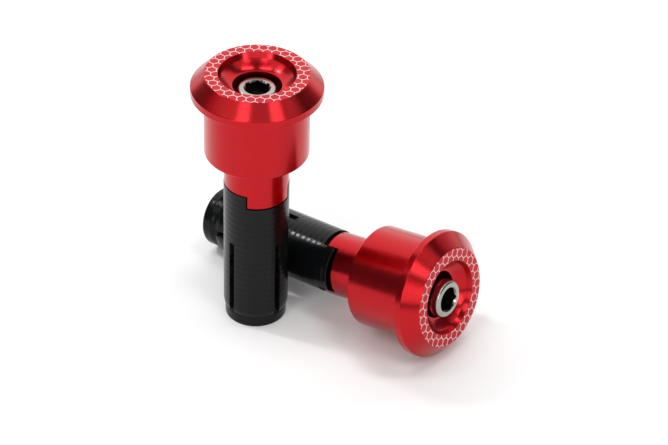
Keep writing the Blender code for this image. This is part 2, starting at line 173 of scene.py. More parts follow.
class Patches:
    """Grids of points that are welded into one mesh."""

    def __init__(self):
        self.points, self.faces, self.uvs, self.lathe, self.count = [], [], [], [], 0

    def add(self, grid, lathe_s=None):
        """Add a grid (rows, columns, 3) of local points.

        The angle round the axis is atan2(y, x). lathe_s is each row's way along the profile, or the
        longest step between rows, summed.
        """
        rows, columns = grid.shape[:2]
        angle = np.unwrap(np.arctan2(grid[..., 1], grid[..., 0]), axis=1)
        if lathe_s is None:
            step = np.linalg.norm(np.diff(grid, axis=0), axis=2).max(axis=1)
            lathe_s = np.concatenate([[0.0], np.cumsum(step)])
        s = np.broadcast_to(np.asarray(lathe_s, float).reshape(rows, -1), (rows, columns))
        index = np.arange(rows * columns).reshape(rows, columns)
        quads = np.stack([index[:-1, :-1], index[1:, :-1], index[1:, 1:], index[:-1, 1:]], axis=-1)
        uv = np.stack([angle / (2 * np.pi), s / 100.0], axis=-1).reshape(-1, 2)
        self.points.append(grid.reshape(-1, 3))
        self.lathe.append(np.stack([np.cos(angle), np.sin(angle), s], axis=-1).reshape(-1, 3))
        self.uvs.append(uv)
        self.faces.append(quads.reshape(-1, 4) + self.count)
        self.count += rows * columns

    def mesh(self, name, matrix):
        """Weld the patches and lay the mesh in place. Millimetres become metres here."""
        points, faces = np.concatenate(self.points), np.concatenate(self.faces)
        mesh = bpy.data.meshes.new(name)
        mesh.from_pydata(points, [], faces.tolist())
        layer = mesh.uv_layers.new(name="lathe_uv")
        layer.data.foreach_set("uv", np.concatenate(self.uvs)[faces.ravel()].ravel())
        lathe = mesh.attributes.new("lathe", 'FLOAT_VECTOR', 'POINT')
        lathe.data.foreach_set("vector", np.concatenate(self.lathe).ravel())
        bm = bmesh.new()
        bm.from_mesh(mesh)
        bmesh.ops.remove_doubles(bm, verts=bm.verts, dist=WELD)
        bmesh.ops.dissolve_degenerate(bm, edges=bm.edges, dist=SLIVER)
        bmesh.ops.recalc_face_normals(bm, faces=bm.faces)
        bm.to_mesh(mesh)
        bm.free()
        mesh.transform(matrix @ Matrix.Scale(MM, 4))
        mesh.shade_smooth()
        mesh.set_sharp_from_angle(angle=SHARP_ANGLE)
        return mesh


# %% Profiles
def rounded(corners, steps=4, hold=0.07):
    """A profile with its corners rounded.

    corners are (radius, station, fillet). Each fillet is a quadratic curve that leaves both sides a
    tangent length t = fillet * tan(half the turn) from the corner. A point at the distance hold
    beyond each end keeps the shading of the flats flat.
    """
    line = np.array([corner[:2] for corner in corners], float)
    out = [line[0]]
    for before, corner, after, (_r, _z, fillet) in zip(line, line[1:], line[2:], corners[1:]):
        into, away = corner - before, after - corner
        len_in, len_out = np.linalg.norm(into), np.linalg.norm(away)
        into, away = into / len_in, away / len_out
        turn = math.acos(max(-1.0, min(1.0, float(into @ away))))
        if fillet <= 0 or turn < 0.02:
            out.append(corner)
            continue
        t = min(fillet * math.tan(turn / 2), 0.45 * len_in, 0.45 * len_out)
        k = np.linspace(0.0, 1.0, steps + 1)[:, None]
        start, end = corner - into * t, corner + away * t
        arc = (1 - k) ** 2 * start + 2 * k * (1 - k) * corner + k ** 2 * end
        if hold < 0.4 * (len_in - t):
            out.append(start - into * hold)
        out.extend(arc)
        if hold < 0.4 * (len_out - t):
            out.append(end + away * hold)
    out.append(line[-1])
    return np.array(out)


def along(profile):
    """Distance along a profile from its first point."""
    return np.concatenate([[0.0], np.cumsum(np.linalg.norm(np.diff(profile, axis=0), axis=1))])


def spin(profile, angles):
    """Carry a profile round the axis: x = radius cos a, y = radius sin a, z = station."""
    radius, station = profile[:, 0, None], profile[:, 1, None]
    flat = np.broadcast_to(station, (len(profile), len(angles)))
    return np.stack([radius * np.cos(angles), radius * np.sin(angles), flat], axis=-1)


def full_turn(count):
    """Angles all the way round in equal steps, the first one again at the end."""
    return np.linspace(0.0, 2 * np.pi, count + 1)


def arc_between(start, end, step_deg=2.0):
    """Angles from start to end in equal steps of about step_deg."""
    count = max(2, int(round(math.degrees(end - start) / step_deg)))
    return np.linspace(start, end, count + 1)


square = rounded([(0.0, 0.0, 0), (1.0, 0.0, 0.2), (1.0, 1.0, 0)])
print("a square corner with a 0.2 mm fillet has", len(square), "points")


# %% Finishing a piece
def finished(name, mesh, body, node, material):
    """Make the piece's object with its material, hide the solid it stands for, attach it to its body."""
    piece = bpy.data.objects.new(name, mesh)
    bpy.context.scene.collection.objects.link(piece)
    mesh.materials.append(material)
    if body:
        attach(piece, body)
    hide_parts(node)
    faces = sum(len(p.vertices) - 2 for p in mesh.polygons)
    print(f"{name}: {faces} triangles")
    return piece


# %% [markdown]
# ## Finishes
# The caps are turned aluminium, dyed red in the anodising bath. The dye tints what the metal
# reflects, and the clear oxide on top adds a faint white reflection that grows at the edges. One
# could paint the streaks in, but they would not move when the view changes. So the shader is a
# metal with a coat, whose highlights are stretched as turned metal stretches them, and fine lathe
# lines come from noise that varies fast along the profile and slowly round it.


# %% Shader helpers
FEED_HEIGHT = 0.012
ROUND_SCALE = 0.35
# Below this way along the profile, a finish that paints shade into hollows turns near black.
PAINTED_SHADE_START = -0.4
# Painted shade: the near-black colour painted into the inside of a socket.
SOCKET_PAINTED_SHADE = (0.05, 0.05, 0.05, 1.0)


def new_material(name, colour, metallic, roughness, **sockets):
    """A Principled material. Extra sockets are named by their labels with underscores."""
    material = bpy.data.materials.new(name)
    material.use_nodes = True
    shader = material.node_tree.nodes["Principled BSDF"]
    values = {"Base Color": (*colour, 1.0), "Metallic": metallic, "Roughness": roughness}
    values.update({key.replace("_", " "): value for key, value in sockets.items()})
    for key, value in values.items():
        shader.inputs[key].default_value = value
    material.diffuse_color = (*colour, 1.0)
    return material


def add_node(material, kind, **values):
    """Add a node and set its properties and sockets by name."""
    node = material.node_tree.nodes.new(kind)
    for key, value in values.items():
        if hasattr(node, key):
            setattr(node, key, value)
        else:
            node.inputs[key.replace("_", " ")].default_value = value
    return node


def lathe_lines(material, fine, coarse, depth, spread, tint=0.0, feed=0.0, shade_hollow=False):
    """Turning marks: noise that runs fast along the profile and hardly at all round the axis.

    The lathe attribute is (cos a, sin a, s). Scaling s up and the circle down stretches a noise
    into rings. The rings change the height a little and the roughness a little. A feed is the
    spacing of the tool's own spiral, a sine along the profile. A tint makes the rings a little
    lighter and darker. A tinted material with shade_hollow set gets painted shade: its colour turns
    near black where the way along the profile is well below zero, so the inside of a socket is painted dark.
    """
    tree = material.node_tree
    links = tree.links
    shader = tree.nodes["Principled BSDF"]
    place = add_node(material, 'ShaderNodeAttribute', attribute_name="lathe")
    heights = []
    for scale in (fine, coarse):
        stretch = add_node(material, 'ShaderNodeMapping', Scale=(ROUND_SCALE, ROUND_SCALE, scale))
        links.new(place.outputs["Vector"], stretch.inputs["Vector"])
        noise = add_node(material, 'ShaderNodeTexNoise', Scale=1.0, Detail=3.0, Roughness=0.6)
        links.new(stretch.outputs["Vector"], noise.inputs["Vector"])
        heights.append(noise.outputs["Fac"])
    both = add_node(material, 'ShaderNodeMath', operation='ADD')
    links.new(heights[0], both.inputs[0])
    links.new(heights[1], both.inputs[1])
    split = add_node(material, 'ShaderNodeSeparateXYZ')
    links.new(place.outputs["Vector"], split.inputs["Vector"])
    height = both.outputs[0]
    if feed:
        turn = add_node(material, 'ShaderNodeMath', operation='MULTIPLY')
        turn.inputs[1].default_value = 2 * math.pi / feed
        links.new(split.outputs["Z"], turn.inputs[0])
        wave = add_node(material, 'ShaderNodeMath', operation='SINE')
        links.new(turn.outputs[0], wave.inputs[0])
        grow = add_node(material, 'ShaderNodeMath', operation='MULTIPLY_ADD')
        grow.inputs[1].default_value = FEED_HEIGHT / depth
        links.new(wave.outputs[0], grow.inputs[0])
        links.new(height, grow.inputs[2])
        height = grow.outputs[0]
    bump = add_node(material, 'ShaderNodeBump', Strength=1.0, Distance=depth * MM)
    links.new(height, bump.inputs["Height"])
    links.new(bump.outputs["Normal"], shader.inputs["Normal"])
    base = shader.inputs["Roughness"].default_value
    vary = add_node(material, 'ShaderNodeMapRange', From_Min=0.7, From_Max=1.3,
                    To_Min=base - spread, To_Max=base + spread)
    links.new(both.outputs[0], vary.inputs["Value"])
    links.new(vary.outputs["Result"], shader.inputs["Roughness"])
    if tint:
        colour = shader.inputs["Base Color"].default_value[:]
        mix = add_node(material, 'ShaderNodeMix', data_type='RGBA')
        mix.inputs["A"].default_value = [c * (1 - tint) for c in colour[:3]] + [1.0]
        mix.inputs["B"].default_value = [min(1.0, c * (1 + tint)) for c in colour[:3]] + [1.0]
        links.new(heights[0], mix.inputs["Factor"])
        result = mix.outputs["Result"]
        # Painted shade: where the way runs well below zero, the colour is painted near black.
        if shade_hollow:
            inside = add_node(material, 'ShaderNodeMath', operation='LESS_THAN')
            inside.inputs[1].default_value = PAINTED_SHADE_START
            links.new(split.outputs["Z"], inside.inputs[0])
            painted_shade = add_node(material, 'ShaderNodeMix', data_type='RGBA')
            painted_shade.inputs["B"].default_value = SOCKET_PAINTED_SHADE
            links.new(inside.outputs[0], painted_shade.inputs["Factor"])
            links.new(result, painted_shade.inputs["A"])
            result = painted_shade.outputs["Result"]
        links.new(result, shader.inputs["Base Color"])
    tangent = add_node(material, 'ShaderNodeTangent', direction_type='UV_MAP', uv_map="lathe_uv")
    links.new(tangent.outputs["Tangent"], shader.inputs["Tangent"])
    return material


def frosted(material, pale, scale, spread):
    """A burnt surface: noise in space mixes in a paler colour and varies the roughness."""
    tree = material.node_tree
    shader = tree.nodes["Principled BSDF"]
    place = add_node(material, 'ShaderNodeTexCoord')
    noise = add_node(material, 'ShaderNodeTexNoise', Scale=scale, Detail=4.0, Roughness=0.65)
    tree.links.new(place.outputs["Object"], noise.inputs["Vector"])
    mix = add_node(material, 'ShaderNodeMix', data_type='RGBA')
    mix.inputs["A"].default_value = shader.inputs["Base Color"].default_value[:]
    mix.inputs["B"].default_value = (*pale, 1.0)
    tree.links.new(noise.outputs["Fac"], mix.inputs["Factor"])
    tree.links.new(mix.outputs["Result"], shader.inputs["Base Color"])
    base = shader.inputs["Roughness"].default_value
    vary = add_node(material, 'ShaderNodeMapRange', From_Min=0.3, From_Max=0.7,
                    To_Min=base - spread, To_Max=base + spread)
    tree.links.new(noise.outputs["Fac"], vary.inputs["Value"])
    tree.links.new(vary.outputs["Result"], shader.inputs["Roughness"])


# %% [markdown]
# ## The four finishes
# Red caps and nuts, black sleeves, plated screws, and the pale lines that a laser leaves where it
# burns the dye away. Each could be one colour, but a turned surface shows its rings and a burnt
# one its grain, so the first three carry lathe lines and the last a fine noise in space.

# %% The finishes
RED = new_material("red_anodise", (0.46, 0.004, 0.009), 1.0, 0.245, Anisotropic=0.6,
                   Anisotropic_Rotation=0.25, Coat_Weight=0.22, Coat_Roughness=0.2, Coat_IOR=1.6)
lathe_lines(RED, fine=3.2, coarse=0.9, depth=0.0004, spread=0.015, tint=0.06)
BLACK = new_material("black_anodise", (0.003, 0.0034, 0.0038), 0.0, 0.21, Specular_IOR_Level=0.17)
lathe_lines(BLACK, fine=2.4, coarse=0.7, depth=0.0003, spread=0.015, feed=1.8)
NICKEL = new_material("nickel_plate", (0.38, 0.36, 0.33), 1.0, 0.22, Anisotropic=0.3)
# The inside of each screw's socket is painted near black as shade by this finish.
lathe_lines(NICKEL, fine=6.0, coarse=2.0, depth=0.0006, spread=0.04, tint=0.06, shade_hollow=True)
ETCH = new_material("laser_etch", (0.72, 0.50, 0.51), 0.0, 0.55)
frosted(ETCH, pale=(0.88, 0.70, 0.71), scale=1800.0, spread=0.12)
for finish in (RED, BLACK, NICKEL, ETCH):
    print(f"{finish.name}: {len(finish.node_tree.nodes)} nodes")

# %% [markdown]
# ## The end cap
# On the real plug this is one bar of aluminium, turned to a flange, a body and a narrow neck,
# with a dished recess where the screw's head sits. Two tongues on the neck's end fit two notches
# in the sleeve, so that the sleeve cannot spin. One profile makes everything above the notches.
# Below them only part of the circle is left, so the tongues and the notch floors are patches of
# their own.


# %% End cap
TIP_CHAMFER = 0.12


def bowl_line(steps=14):
    """The dish from the counterbore to the steep wall: z rises as the 1.5 power of the way out."""
    k = np.linspace(0.0, 1.0, steps)
    radius = COUNTERBORE_R + (WALL_FOOT_R - COUNTERBORE_R) * k
    station = FACE - BOWL_DEPTH + (BOWL_DEPTH - WALL_DEPTH) * k ** 1.5
    return [(r, z, 0.0) for r, z in zip(radius, station)]


def end_cap(letter, body):
    """One cap: the profile carried round, two tongues below it and two notch floors between them.

    The tongues reach TONGUE_HALF to each side of the local +X and -X directions.
    """
    matrix = PLUGS[letter]["cap"]
    edges = [TONGUE_HALF, np.pi - TONGUE_HALF, np.pi + TONGUE_HALF, 2 * np.pi - TONGUE_HALF]
    arcs = [arc_between(-TONGUE_HALF, edges[0]), arc_between(edges[0], edges[1]),
            arc_between(edges[1], edges[2]), arc_between(edges[2], edges[3])]
    angles = np.concatenate([arc[:-1] for arc in arcs] + [[edges[3]]])
    profile = rounded([
        (NECK_BORE_R, CAP_NOTCH, 0), (NECK_BORE_R, WEB_FOOT, 0), (HOLE_R, WEB_FOOT, 0),
        (HOLE_R, WEB_TOP, 0), (COUNTERBORE_R, WEB_TOP, 0), *bowl_line(),
        (WALL_FOOT_R + 0.01, FACE - WALL_DEPTH + 0.02, 0), (MOUTH_R, FACE, 0.12),
        (FACE_R, FACE, 0.24), (FLANGE_R, BEVEL_FOOT, 0.22), (FLANGE_R, BAND_FOOT, 0.18),
        (BODY_R, BAND_FOOT, 0.10), (BODY_R, SHOULDER, 0.35), (NECK_R, SHOULDER, 0.08),
        (NECK_R, CAP_NOTCH, 0)])
    way = along(profile)
    skin = Patches()
    skin.add(spin(profile, angles), way)
    tip = np.array([(NECK_R, CAP_NOTCH), (NECK_R, CAP_TIP + TIP_CHAMFER),
                    (NECK_R - TIP_CHAMFER, CAP_TIP), (NECK_BORE_R, CAP_TIP),
                    (NECK_BORE_R, CAP_NOTCH)])
    tip_way = way[-1] + along(tip)
    for arc in (arcs[0], arcs[2]):
        tongue = spin(tip, arc)
        skin.add(tongue, tip_way)
        for side in (tongue[:, 0], tongue[:, -1]):
            flank = np.stack([side[[0, 1, 2]], side[[4, 4, 3]]], axis=1)
            skin.add(flank, tip_way[:3])
    for arc in (arcs[1], arcs[3]):
        floor = np.array([(NECK_R, CAP_NOTCH), (NECK_BORE_R, CAP_NOTCH)])
        skin.add(spin(floor, arc), way[-1] + along(floor))
    name = f"turned_end_cap_{letter}"
    return finished(name, skin.mesh(name, matrix), body, f"end_cap_{letter}", RED)


for letter, body in (("a", "plug_a"), ("b", "cap_b")):
    end_cap(letter, body)

# %% [markdown]
# ## The engraved honeycomb
# A laser has burned a honeycomb of pale lines into the dye on the flat ring. It could be a
# texture, but a texture blurs when the part is exported small, and these lines stay crisp as
# geometry. Each side of each hexagon becomes one thin plate, 0.2 mm wide and 0.015 mm proud,
# whose ends are pointed so that three plates meet without overlapping. Plates that cross the
# ring's edge are cut.

# %% Honeycomb lines
COMB_PITCH, COMB_LINE, COMB_PROUD, COMB_FOOT = 2.31, 0.20, 0.015, 0.004
SHORTEST_PLATE = 0.12
COMB_OUTER, COMB_INNER = 13.28, 10.14
COMB_TURN = {"a": math.radians(-5.3), "b": math.radians(18.2)}


def comb_sides(reach=9):
    """Ends of every side of a honeycomb whose hexagons have a corner on +Y.

    Centres are at pitch * (i + j / 2) along X and 1.5 * side * j along Y. Corners are a side length
    from the centre at 30, 90, 150 degrees and so on, and each hexagon gives three of its six sides.
    """
    side = COMB_PITCH / math.sqrt(3.0)
    i, j = np.meshgrid(np.arange(-reach, reach + 1), np.arange(-reach, reach + 1))
    centre = np.stack([COMB_PITCH * (i + j / 2.0), 1.5 * side * j], axis=-1).reshape(-1, 1, 2)
    corner = np.radians(30.0 + 60.0 * np.arange(4))
    ring = centre + side * np.stack([np.cos(corner), np.sin(corner)], axis=-1)
    return ring[:, :-1].reshape(-1, 2), ring[:, 1:].reshape(-1, 2)


def circle_cut(start, way, radius):
    """The two values of t where start + t * way crosses a circle, or nan where it never does."""
    a = (way ** 2).sum(axis=1)
    b = (start * way).sum(axis=1)
    with np.errstate(invalid="ignore"):
        root = np.sqrt(b ** 2 - a * ((start ** 2).sum(axis=1) - radius ** 2))
    return (-b - root) / a, (-b + root) / a


def kept_sides(turn):
    """Start, direction and the two cuts t0, t1 of every side that lies between the two circles.

    A side is start + way * t. Its cuts are 0 and 1, or where it crosses a circle.
    """
    start, end = comb_sides()
    spin_about = np.array([[math.cos(turn), math.sin(turn)], [-math.sin(turn), math.cos(turn)]])
    start, end = start @ spin_about, end @ spin_about
    way = end - start
    outer_low, outer_high = circle_cut(start, way, COMB_OUTER)
    t0, t1 = np.fmax(0.0, outer_low), np.fmin(1.0, outer_high)
    t1 = np.where(np.isnan(outer_low), -1.0, t1)
    inner_low, inner_high = circle_cut(start, way, COMB_INNER)
    from_inside = np.linalg.norm(start, axis=1) < COMB_INNER
    to_inside = np.linalg.norm(end, axis=1) < COMB_INNER
    t0 = np.where(from_inside & ~to_inside, np.fmax(t0, inner_high), t0)
    t1 = np.where(to_inside & ~from_inside, np.fmin(t1, inner_low), t1)
    t1 = np.where(from_inside & to_inside, -1.0, t1)
    keep = t1 - t0 > SHORTEST_PLATE
    return start[keep], way[keep], t0[keep, None], t1[keep, None]


# %% Honeycomb plates
def plate_outlines(letter):
    """Six corners of each plate: a point at each end, with mitres where three plates meet."""
    start, way, t0, t1 = kept_sides(COMB_TURN[letter])
    ahead = way / np.linalg.norm(way, axis=1, keepdims=True)
    aside = np.stack([-ahead[:, 1], ahead[:, 0]], axis=-1) * (COMB_LINE / 2)
    mitre = COMB_LINE / 2 / math.sqrt(3.0)
    p, q = start + way * t0, start + way * t1
    p_in = p + ahead * np.where(t0 > 0, 0.0, mitre)
    q_in = q - ahead * np.where(t1 < 1, 0.0, mitre)
    return np.stack([p, p_in + aside, q_in + aside, q, q_in - aside, p_in - aside], axis=1)


def honeycomb(letter, body):
    """Each outline is drawn at two heights above the face, and walls join the two."""
    outline = plate_outlines(letter)
    count = len(outline)
    lift = [np.full((count, 6, 1), FACE + z) for z in (COMB_FOOT, COMB_PROUD)]
    points = np.concatenate([np.concatenate([outline, z], axis=2) for z in lift], axis=1)
    base = 12 * np.arange(count)[:, None]
    around = np.arange(6)
    walls = np.stack([around, (around + 1) % 6, (around + 1) % 6 + 6, around + 6], axis=-1)
    faces = (base + around[None] + 6)[:, ::-1].tolist() + (base + around[None]).tolist()
    faces += (base[:, :, None] + walls[None]).reshape(-1, 4).tolist()
    mesh = bpy.data.meshes.new(f"etched_honeycomb_{letter}")
    mesh.from_pydata(points.reshape(-1, 3), [], faces)
    bm = bmesh.new()
    bm.from_mesh(mesh)
    bmesh.ops.recalc_face_normals(bm, faces=bm.faces)
    bm.to_mesh(mesh)
    bm.free()
    mesh.transform(PLUGS[letter]["cap"] @ Matrix.Scale(MM, 4))
    print("honeycomb sides kept", count)
    piece = bpy.data.objects.new(mesh.name, mesh)
    bpy.context.scene.collection.objects.link(piece)
    mesh.materials.append(ETCH)
    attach(piece, body)
    return piece


for letter, body in (("a", "plug_a"), ("b", "cap_b")):
    honeycomb(letter, body)

# %% [markdown]
# ## The sleeve
# The real sleeve is one tube with four saw slots, and its fingers bend at the slots' roots. The
# whole tube above the roots is one piece here and each finger is another.


# %% Columns of the sleeve
QUARTER = math.pi / 2
FINGER_HALF = QUARTER / 2 - math.asin(SLOT_HALF / SLEEVE_R)
FINGER_STEPS = 24
SLIT_HALF = 0.0209
SLOT_SPREAD = 0.06
MARK_ROOM = 0.012


def finger_centre(number):
    """Middle angle of finger 1, 2, 3 or 4: the slots' turn and an odd number of eighths."""
    return SLOT_TURN + QUARTER / 2 + (number - 1) * QUARTER


def tongue_edge(k, side):
    """Angle of the edge of tongue or notch k: SLIT_HALF to one side of an odd eighth."""
    return k * QUARTER + QUARTER / 2 + side * SLIT_HALF


def tube_angles():
    """Angles of the tube's columns: the fingers' own, a few across each slot, and the tongues'.

    A column closer than MARK_ROOM to a tongue's edge is left out.
    """
    across = np.linspace(-FINGER_HALF, FINGER_HALF, FINGER_STEPS + 1)
    fingers = [finger_centre(n) + across for n in (1, 2, 3, 4)]
    inside_slot = np.linspace(-SLOT_SPREAD, SLOT_SPREAD, 3)
    slots = [finger_centre(n) + QUARTER / 2 + inside_slot for n in (1, 2, 3, 4)]
    edges = [tongue_edge(k, side) for k in range(4) for side in (-1, 1)]
    angles = np.concatenate([*fingers, *slots]) % (2 * np.pi)
    marks = np.array(edges) % (2 * np.pi)
    far = np.abs(angles[:, None] - marks[None]).min(axis=1) > MARK_ROOM
    return np.sort(np.concatenate([angles[far], marks])), np.sort(marks)


print("half a finger is", round(math.degrees(FINGER_HALF), 2), "degrees")


# %% Sleeve tube
TUBE_WAY = 4.0
TONGUE_RIM = 0.12
SAME_ANGLE = 1e-6


def columns_between(closed, first, last):
    """The tube's own column angles between two edges, which may lie past a full turn."""
    turned = np.concatenate([closed, closed + 2 * np.pi])
    inside = turned[(turned > first + SAME_ANGLE) & (turned < last - SAME_ANGLE)]
    return np.unique(np.round(np.concatenate([[first], inside, [last]]), 9))


def sleeve_tube(letter, body):
    """The tube above the slots' roots: its walls carried round, then its stepped upper end.

    The upper end is a ring cut by four narrow slits. Two of the parts between the slits are tongues
    that stand up, and two are the floors of notches.
    """
    matrix = PLUGS[letter]["sleeve"]
    angles, marks = tube_angles()
    closed = np.append(angles, angles[0] + 2 * np.pi)
    rows = np.linspace(SLEEVE_NOTCH, SLOT_ROOT, 30)
    outer = [(SLEEVE_R, z) for z in rows]
    inner = [(SLEEVE_BORE_R, z) for z in rows[::-1]]
    profile = np.array(outer + inner)
    skin = Patches()
    skin.add(spin(profile, closed), along(profile) + TUBE_WAY)
    tip = np.array([(SLEEVE_R, SLEEVE_NOTCH), (SLEEVE_R, SLEEVE_TOP - TONGUE_RIM),
                    (SLEEVE_R - TONGUE_RIM, SLEEVE_TOP), (SLEEVE_BORE_R, SLEEVE_TOP),
                    (SLEEVE_BORE_R, SLEEVE_NOTCH)])
    floor = np.array([(SLEEVE_R, SLEEVE_NOTCH), (SLEEVE_BORE_R, SLEEVE_NOTCH)])
    tip_way, floor_way = TUBE_WAY - along(tip), TUBE_WAY - along(floor)
    for k in range(4):
        first = marks[np.argmin(np.abs(marks - tongue_edge(k, 1)))]
        arc = columns_between(closed, first, first + QUARTER - 2 * SLIT_HALF)
        if k % 2 == 0:
            tongue = spin(tip, arc)
            skin.add(tongue, tip_way)
            for side in (tongue[:, 0], tongue[:, -1]):
                skin.add(np.stack([side[[0, 1, 2]], side[[4, 4, 3]]], axis=1), tip_way[:3])
        else:
            skin.add(spin(floor, arc), floor_way)
        slit = marks[np.argmin(np.abs(marks - tongue_edge(k, -1)))]
        skin.add(spin(floor, columns_between(closed, slit, slit + 2 * SLIT_HALF)), floor_way)
    name = f"slotted_sleeve_{letter}"
    return finished(name, skin.mesh(name, matrix), body, f"sleeve_tube_{letter}",
                    BLACK)


# %% Sleeve fingers
TAPER_TOP = 4.7


def finger_walls():
    """Radii and stations down a finger's outside, and down its bore to where its cone opens."""
    cone_top = SLEEVE_TAIL + (SLEEVE_MOUTH_R - SLEEVE_BORE_R) / CONE_SLOPE
    outer_z = np.concatenate([np.linspace(SLOT_ROOT, TAPER_TOP + 0.1, 46),
                              [TAPER_TOP, TAPER_TOP - 0.1, SLEEVE_TAIL + 0.1, SLEEVE_TAIL]])
    outer_r = np.interp(outer_z, [SLEEVE_TAIL, TAPER_TOP], [SLEEVE_END_R, SLEEVE_R])
    inner_z = np.concatenate([np.linspace(SLOT_ROOT, cone_top, 32),
                              np.linspace(cone_top, SLEEVE_TAIL, 19)[1:]])
    inner_r = np.interp(inner_z, [SLEEVE_TAIL, cone_top], [SLEEVE_MOUTH_R, SLEEVE_BORE_R])
    return outer_r, outer_z, inner_r, inner_z


def sleeve_finger(letter, number):
    """One finger.

    Its edges are a slot's half width from the slot's middle plane at every radius, so the half
    angle at radius r is 45 degrees less asin(slot half / r).
    """
    matrix = PLUGS[letter]["sleeve"]
    outer_r, outer_z, inner_r, inner_z = finger_walls()
    t = np.linspace(-1.0, 1.0, FINGER_STEPS + 1)

    def wall(radius, station):
        half = QUARTER / 2 - np.arcsin(SLOT_HALF / radius)
        angle = finger_centre(number) + half[:, None] * t[None]
        flat = np.broadcast_to(station[:, None], angle.shape)
        across = radius[:, None]
        return np.stack([across * np.cos(angle), across * np.sin(angle), flat], axis=-1)

    outside, inside = wall(outer_r, outer_z), wall(inner_r, inner_z)
    way = TUBE_WAY + SLEEVE_NOTCH - outer_z
    skin = Patches()
    skin.add(outside, way)
    skin.add(inside[::-1], 60.0 + inner_z[::-1])
    skin.add(np.stack([outside[-1], inside[-1]]), way[-1] + np.array([0.0, 0.3]))
    skin.add(np.stack([inside[0], outside[0]]), way[0] + np.array([0.0, 3.0]))
    for column in (0, -1):
        skin.add(np.stack([inside[:, column], outside[:, column]], axis=1), way)
    name = f"spread_finger_{letter}{number}"
    mesh = skin.mesh(name, matrix)
    piece = finished(name, mesh, None, f"sleeve_finger_{letter}{number}", BLACK)
    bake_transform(piece)
    return piece


for letter, bodies in (("a", ("plug_a", "finger_a")), ("b", ("sleeve_b", "finger_b"))):
    sleeve_tube(letter, bodies[0])
    for number in (1, 2, 3, 4):
        sleeve_finger(letter, number)

# %% [markdown]
# ## The cone nut
# Its plain rim shows below the sleeve, and its cone wedges into the sleeve's coned mouth. A Screw
# modifier could turn it, but the same patches as before keep its lathe lines. It is one closed
# profile carried round the axis, and the thread in its bore stays hidden, so it is left plain.


# %% Cone nut
NUT_CLEARANCE, NUT_WAIST, TOP_CHAMFER, TAIL_CHAMFER = 0.08, 4.0, 0.3, 0.45


def cone_nut(letter, body):
    """One nut. Its cone loses CONE_SLOPE of radius for each millimetre above CONE_START."""
    nose = RIM_R - CONE_SLOPE * (NUT_TOP - CONE_START)
    bore = SCREW_R + NUT_CLEARANCE
    profile = rounded([
        (bore, NUT_WAIST, 0), (bore, NUT_TOP - TOP_CHAMFER, 0), (bore + TOP_CHAMFER, NUT_TOP, 0),
        (nose, NUT_TOP, 0.15), (RIM_R, CONE_START, 0.12), (RIM_R, 0.0, 0.30),
        (bore + TAIL_CHAMFER, 0.0, 0), (bore, TAIL_CHAMFER, 0), (bore, NUT_WAIST, 0)])
    skin = Patches()
    skin.add(spin(profile, full_turn(128)), along(profile))
    name = f"turned_cone_nut_{letter}"
    return finished(name, skin.mesh(name, PLUGS[letter]["nut"]), body, f"cone_nut_{letter}",
                    BLACK)


for letter in "ab":
    cone_nut(letter, f"nut_{letter}")

# %% [markdown]
# ## The clamp screw
# A socket head cap screw has a knurled head, a hexagon socket with a small countersink and a
# thread on its lower end. The knurl is the head's circle with teeth, the socket is a circle that
# turns into a hexagon, and the thread is a radius that depends on how far round and along the
# point is.


# %% Outlines of the screw
TEETH, TOOTH_DEPTH = 60, 0.16
SOCKET_MOUTH, MOUTH_LIP, MOUTH_SLOPE = 3.5, 0.05, 0.75
DRILL_POINT = 1.2
UNDERCUT, THREAD_FADE, TIP_R = 0.6, 1.5, 2.35


def hexagon(angles, flat):
    """Radius of a hexagon whose half width is flat: flat / cos(angle from the nearest flat)."""
    from_flat = (angles + np.pi / 6) % (np.pi / 3) - np.pi / 6
    return flat / np.cos(from_flat)


def polar(radius, angles, station):
    """Points (r cos a, r sin a, z) for each angle, at one station or each at its own."""
    flat = np.broadcast_to(station, angles.shape)
    return np.stack([radius * np.cos(angles), radius * np.sin(angles), flat], axis=-1)


def thread_radius(angles, station):
    """Thread flanks: a triangle wave in (station / pitch - turn), cut flat at crest and root."""
    phase = (station / THREAD_PITCH - angles / (2 * np.pi)) % 1.0
    wave = np.clip(np.abs(phase - 0.5) * 2.6 - 0.65, -0.5, 0.5) + 0.5
    return SCREW_R - THREAD_DEPTH * (1.0 - wave)


print("across the socket's corners", round(2 * float(hexagon(np.pi / 6, SOCKET_FLAT)), 2), "mm")


# %% Head of the screw
def socket_rings(around):
    """Rings from the drill point in the socket's floor up to its countersunk mouth."""
    hex_r = hexagon(around, SOCKET_FLAT)
    floor_z = HEAD_TOP - SOCKET_DEPTH
    return [
        polar(0 * hex_r, around, floor_z - DRILL_POINT - 0.01),
        polar(hex_r * 0.02, around, floor_z - DRILL_POINT),
        polar(hex_r * 0.94, around, floor_z),
        polar(hex_r, around, floor_z),
        polar(hex_r, around, HEAD_TOP - 1.2),
        polar(hex_r, around, HEAD_TOP - (SOCKET_MOUTH - hex_r) * MOUTH_SLOPE - 0.02),
    ]


